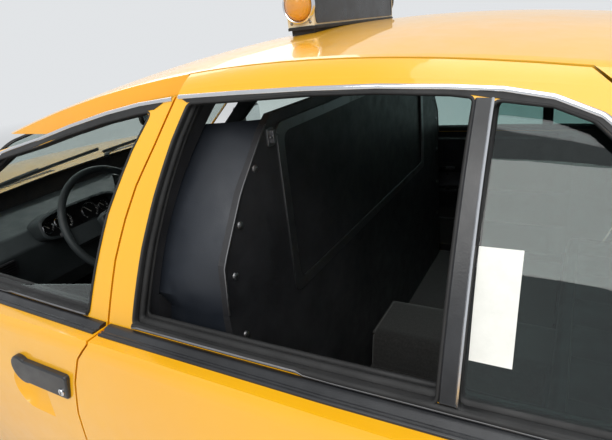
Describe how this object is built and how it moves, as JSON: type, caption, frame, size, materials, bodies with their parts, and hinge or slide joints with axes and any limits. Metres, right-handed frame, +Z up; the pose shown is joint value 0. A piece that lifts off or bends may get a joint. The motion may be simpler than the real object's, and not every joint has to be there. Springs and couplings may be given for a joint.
{
  "type": "taxi cab",
  "caption": "Full-size four-door taxi cab with hinged doors, hood and trunk lid, a roof sign, a partition and steered, turning wheels.",
  "frame": {"origin": "on the ground, under the middle of the car", "axes": "+X to the front of the car, +Y to its left side, +Z up"},
  "size_m": [5.54, 2.35, 1.63],
  "materials": {
    "body_paint": "gloss",
    "chassis_paint": "satin",
    "glass": "clear tint",
    "tyre": "matte",
    "wheel_steel": "satin",
    "bumper": "satin",
    "brightwork": "bright",
    "clear_lens": "clear",
    "red_lens": "gloss",
    "amber_lens": "gloss",
    "seat_vinyl": "satin",
    "cast_metal": "rough",
    "plain_steel": "dull",
    "sign_plastic": "gloss",
    "black_plastic": "satin"
  },
  "bodies": {
    "car": {"body_side_left": "body_paint", "body_side_right": "body_paint", "chassis_frame": "chassis_paint", "cowl_panel": "body_paint", "dashboard": "black_plastic", "engine_block": "cast_metal", "exhaust": "plain_steel", "fender_left": "body_paint", "fender_right": "body_paint", "floor_pan": "chassis_paint", "front_bumper": "bumper", "front_seats": "seat_vinyl", "fuel_tank": "plain_steel", "grille": "brightwork", "headlamps": "clear_lens", "parcel_shelf": "body_paint", "partition": "black_plastic", "radiator_support": "chassis_paint", "rear_axle": "cast_metal", "rear_bench": "seat_vinyl", "rear_bumper": "bumper", "rear_window": "glass", "roof_panel": "body_paint", "roof_sign": "sign_plastic", "roof_sign_lamps": "amber_lens", "roof_sign_plinth": "black_plastic", "tail_lamps": "red_lens", "tail_panel": "body_paint", "windshield": "glass"},
    "door_front_left": {"door_front_left": "body_paint", "glass_front_left": "glass", "fittings_front_left": "black_plastic"},
    "door_front_right": {"door_front_right": "body_paint", "glass_front_right": "glass", "fittings_front_right": "black_plastic"},
    "door_rear_left": {"door_rear_left": "body_paint", "glass_rear_left": "glass", "handle_rear_left": "black_plastic"},
    "door_rear_right": {"door_rear_right": "body_paint", "glass_rear_right": "glass", "handle_rear_right": "black_plastic"},
    "hood": {"hood": "body_paint"},
    "trunk_lid": {"trunk_lid": "body_paint"},
    "knuckle_left": {"knuckle_left": "cast_metal"},
    "knuckle_right": {"knuckle_right": "cast_metal"},
    "steering_wheel": {"steering_wheel": "black_plastic"},
    "wheel_front_left": {"wheel_front_left": "wheel_steel", "tyre_front_left": "tyre"},
    "wheel_front_right": {"wheel_front_right": "wheel_steel", "tyre_front_right": "tyre"},
    "wheel_rear_left": {"wheel_rear_left": "wheel_steel", "tyre_rear_left": "tyre"},
    "wheel_rear_right": {"wheel_rear_right": "wheel_steel", "tyre_rear_right": "tyre"}
  },
  "joints": [
    {"name": "door_front_left_hinge", "type": "hinge", "parent": "car", "child": "door_front_left", "pos_m": [1.177, 1, 0.6], "axis": [0, 0, -1], "range_deg": [0, 68]},
    {"name": "door_front_right_hinge", "type": "hinge", "parent": "car", "child": "door_front_right", "pos_m": [1.177, -1, 0.6], "axis": [0, 0, 1], "range_deg": [0, 68]},
    {"name": "door_rear_left_hinge", "type": "hinge", "parent": "car", "child": "door_rear_left", "pos_m": [0.089, 1, 0.6], "axis": [0, 0, -1], "range_deg": [0, 68]},
    {"name": "door_rear_right_hinge", "type": "hinge", "parent": "car", "child": "door_rear_right", "pos_m": [0.089, -1, 0.6], "axis": [0, 0, 1], "range_deg": [0, 68]},
    {"name": "hood_hinge", "type": "hinge", "parent": "car", "child": "hood", "pos_m": [1.333, 0, 1.035], "axis": [0, -1, 0], "range_deg": [0, 55]},
    {"name": "trunk_hinge", "type": "hinge", "parent": "car", "child": "trunk_lid", "pos_m": [-1.778, 0, 1.085], "axis": [0, 1, 0], "range_deg": [0, 75]},
    {"name": "steer_left", "type": "hinge", "parent": "car", "child": "knuckle_left", "pos_m": [1.7, 0.745, 0.338], "axis": [0, 0, 1], "range_deg": [-33, 33]},
    {"name": "steer_right", "type": "hinge", "parent": "car", "child": "knuckle_right", "pos_m": [1.7, -0.745, 0.338], "axis": [0, 0, 1], "range_deg": [-33, 33]},
    {"name": "steering_wheel_turn", "type": "hinge", "parent": "car", "child": "steering_wheel", "pos_m": [0.64, 0.37, 0.925], "axis": [-0.9135, 0, 0.4067], "range_deg": [-451, 451]},
    {"name": "wheel_front_left_spin", "type": "hinge", "parent": "knuckle_left", "child": "wheel_front_left", "pos_m": [1.7, 0.805, 0.338], "axis": [0, 1, 0], "continuous": true},
    {"name": "wheel_front_right_spin", "type": "hinge", "parent": "knuckle_right", "child": "wheel_front_right", "pos_m": [1.7, -0.805, 0.338], "axis": [0, 1, 0], "continuous": true},
    {"name": "wheel_rear_left_spin", "type": "hinge", "parent": "car", "child": "wheel_rear_left", "pos_m": [-1.366, 0.828, 0.338], "axis": [0, 1, 0], "continuous": true},
    {"name": "wheel_rear_right_spin", "type": "hinge", "parent": "car", "child": "wheel_rear_right", "pos_m": [-1.366, -0.828, 0.338], "axis": [0, 1, 0], "continuous": true}
  ],
  "couplings": [
    {"joint": "steer_right", "follows": "steer_left", "ratio": 1},
    {"joint": "steering_wheel_turn", "follows": "steer_left", "ratio": 13.64}
  ]
}
